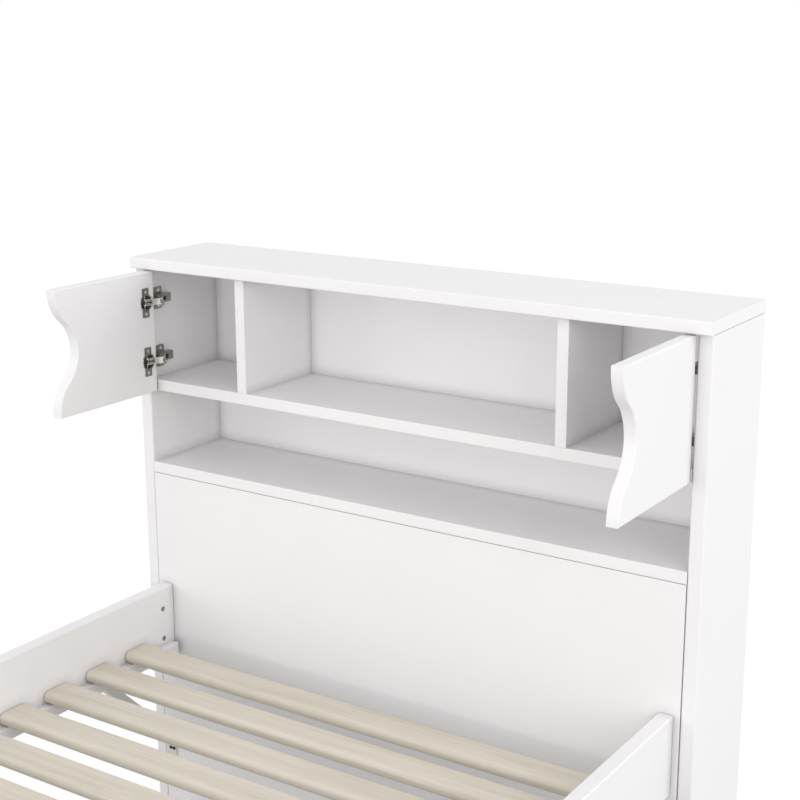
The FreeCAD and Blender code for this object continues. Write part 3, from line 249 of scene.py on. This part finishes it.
def grey_paint(name, colour):
    """Smooth satin paint on steel."""
    g = Graph(name)
    cloud = g.noise(scale=30.0, detail=4.0)
    tone = g.ramp(cloud, [(0.3, scaled(colour, BRACE_DARK_SHARE)), (0.7, colour)])
    rough = g.map_range(g.noise(scale=90.0, detail=3.0), low=0.38, high=0.50)
    grain = g.bump(g.noise(scale=500.0, detail=2.0), strength=0.12, distance=0.0004)
    return g.finish(tone, rough, grain)


def plastic(name, colour):
    """Moulded plastic with a fine matt grain."""
    g = Graph(name)
    cloud = g.noise(scale=60.0, detail=3.0)
    tone = g.ramp(cloud, [(0.3, scaled(colour, PLASTIC_DARK_SHARE)), (0.7, colour)])
    rough = g.map_range(g.noise(scale=260.0, detail=3.0), low=0.48, high=0.62)
    grain = g.bump(g.noise(scale=700.0, detail=2.0), strength=0.2, distance=0.0003)
    return g.finish(tone, rough, grain)


# painted shade: a darkened copy of the nickel plate for hinge parts in shade, next to a copy in the
# plain nickel colour
SHADED_NICKEL = metal("nickel_plate_painted_shade", SHADED_NICKEL_COLOUR, rough_low=0.24, rough_high=0.38)
BRIGHT = metal("bright_nickel", BRIGHT_COLOUR, rough_low=0.22, rough_high=0.34)

LOOK = {
    "white_paint": white_paint("white_satin_paint"),
    "pine": wood("pale_pine"),
    "beech": wood("beech_dowel", BEECH_TINT),
    "nickel_steel": SHADED_NICKEL,
    "zinc_steel": metal("zinc_plate", ZINC_COLOUR, rough_low=0.32, rough_high=0.48),
    "black_steel": metal("black_steel", BLACK_COLOUR, rough_low=0.35, rough_high=0.50),
    "grey_paint": grey_paint("grey_brace_paint", BRACE_COLOUR),
    "glide_plastic": plastic("black_glide_plastic", GLIDE_COLOUR),
}

# pieces that look different from the rest of their slot
OWN_LOOK = {
    "left_outer_links": BRIGHT,
    "right_outer_links": BRIGHT,
    "left_cup_screws": BRIGHT,
    "right_cup_screws": BRIGHT,
    "hinge_plate_screws": BRIGHT,
    # painted shade: the barrel nuts take the darkened nickel for the shade in their holes
    "barrel_nuts": SHADED_NICKEL,
}

slots = {part["node"]: part["material_slot"] for part in frame["record"]["subparts"]}
for node_name, node in nodes.items():
    node.data.materials.clear()
    node.data.materials.append(LOOK[slots[node_name]])
for node_name, look in OWN_LOOK.items():
    nodes[node_name].data.materials[0] = look


# ------------------------------------------------------------------ studio

def studio_world():
    """Background that the camera and reflections see as one white, whatever lights the object."""
    world = bpy.data.worlds.new("studio")
    world.use_nodes = True
    tree = world.node_tree
    tree.nodes.clear()
    sides = []
    for strength in (WORLD_LIGHT, WORLD_SEEN):
        side = tree.nodes.new("ShaderNodeBackground")
        side.inputs["Color"].default_value = (1, 1, 1, 1)
        side.inputs["Strength"].default_value = strength
        sides.append(side.outputs[0])
    out = tree.nodes.new("ShaderNodeOutputWorld")
    tree.links.new(mix_shaders(tree, background_rays(tree), *sides), out.inputs[0])
    bpy.context.scene.world = world


def area_light(name, place, target, size, power):
    data = bpy.data.lights.new(name, "AREA")
    data.shape = "RECTANGLE"
    data.size, data.size_y = size
    data.energy = power
    light = bpy.data.objects.new(name, data)
    light.location = place
    light.rotation_euler = (Vector(target) - Vector(place)).to_track_quat("-Z", "Y").to_euler()
    bpy.context.scene.collection.objects.link(light)


def floor():
    """Pale floor: nearly white to the camera and to reflections, and it keeps the soft shadow."""
    mesh = bpy.data.meshes.new("floor")
    corners = [(x * FLOOR_HALF, y * FLOOR_HALF, 0) for x, y in ((-1, -1), (1, -1), (1, 1), (-1, 1))]
    mesh.from_pydata(corners, [], [(0, 1, 2, 3)])
    obj = bpy.data.objects.new("floor", mesh)
    bpy.context.scene.collection.objects.link(obj)
    g = Graph("floor_white")
    g.finish(g.ramp(g.noise(scale=2.0, detail=2.0), [(0.3, FLOOR_LOW), (0.7, FLOOR_HIGH)]))
    g.shader.inputs["Roughness"].default_value = FLOOR_ROUGHNESS
    g.shader.inputs["Specular IOR Level"].default_value = 0.0
    shadow = g.add("ShaderNodeBsdfDiffuse")
    shadow.inputs["Color"].default_value = FLOOR_SEEN_DIFFUSE
    glow = g.add("ShaderNodeEmission")
    glow.inputs["Strength"].default_value = FLOOR_SEEN_GLOW
    seen = g.add("ShaderNodeAddShader")
    g.link(shadow.outputs[0], seen.inputs[0])
    g.link(glow.outputs[0], seen.inputs[1])
    both = mix_shaders(g.tree, background_rays(g.tree), g.shader.outputs[0], seen.outputs[0])
    g.link(both, g.out.inputs[0])
    obj.data.materials.append(g.mat)


def photo_camera():
    """Camera at the photograph's place."""
    right = Vector(CAMERA_RIGHT).normalized()
    forward = Vector(CAMERA_FORWARD).normalized()
    up = right.cross(forward).normalized()
    data = bpy.data.cameras.new("camera")
    data.lens = CAMERA_LENS
    data.sensor_width = CAMERA_SENSOR
    camera = bpy.data.objects.new("camera", data)
    bpy.context.scene.collection.objects.link(camera)
    rows = zip(right, up, -forward, CAMERA_PLACE)
    camera.matrix_world = Matrix((*rows, (0, 0, 0, 1)))
    bpy.context.scene.camera = camera


studio_world()
for lamp in LAMPS:
    area_light(*lamp)
floor()
photo_camera()
bpy.context.scene.view_settings.view_transform = "Standard"
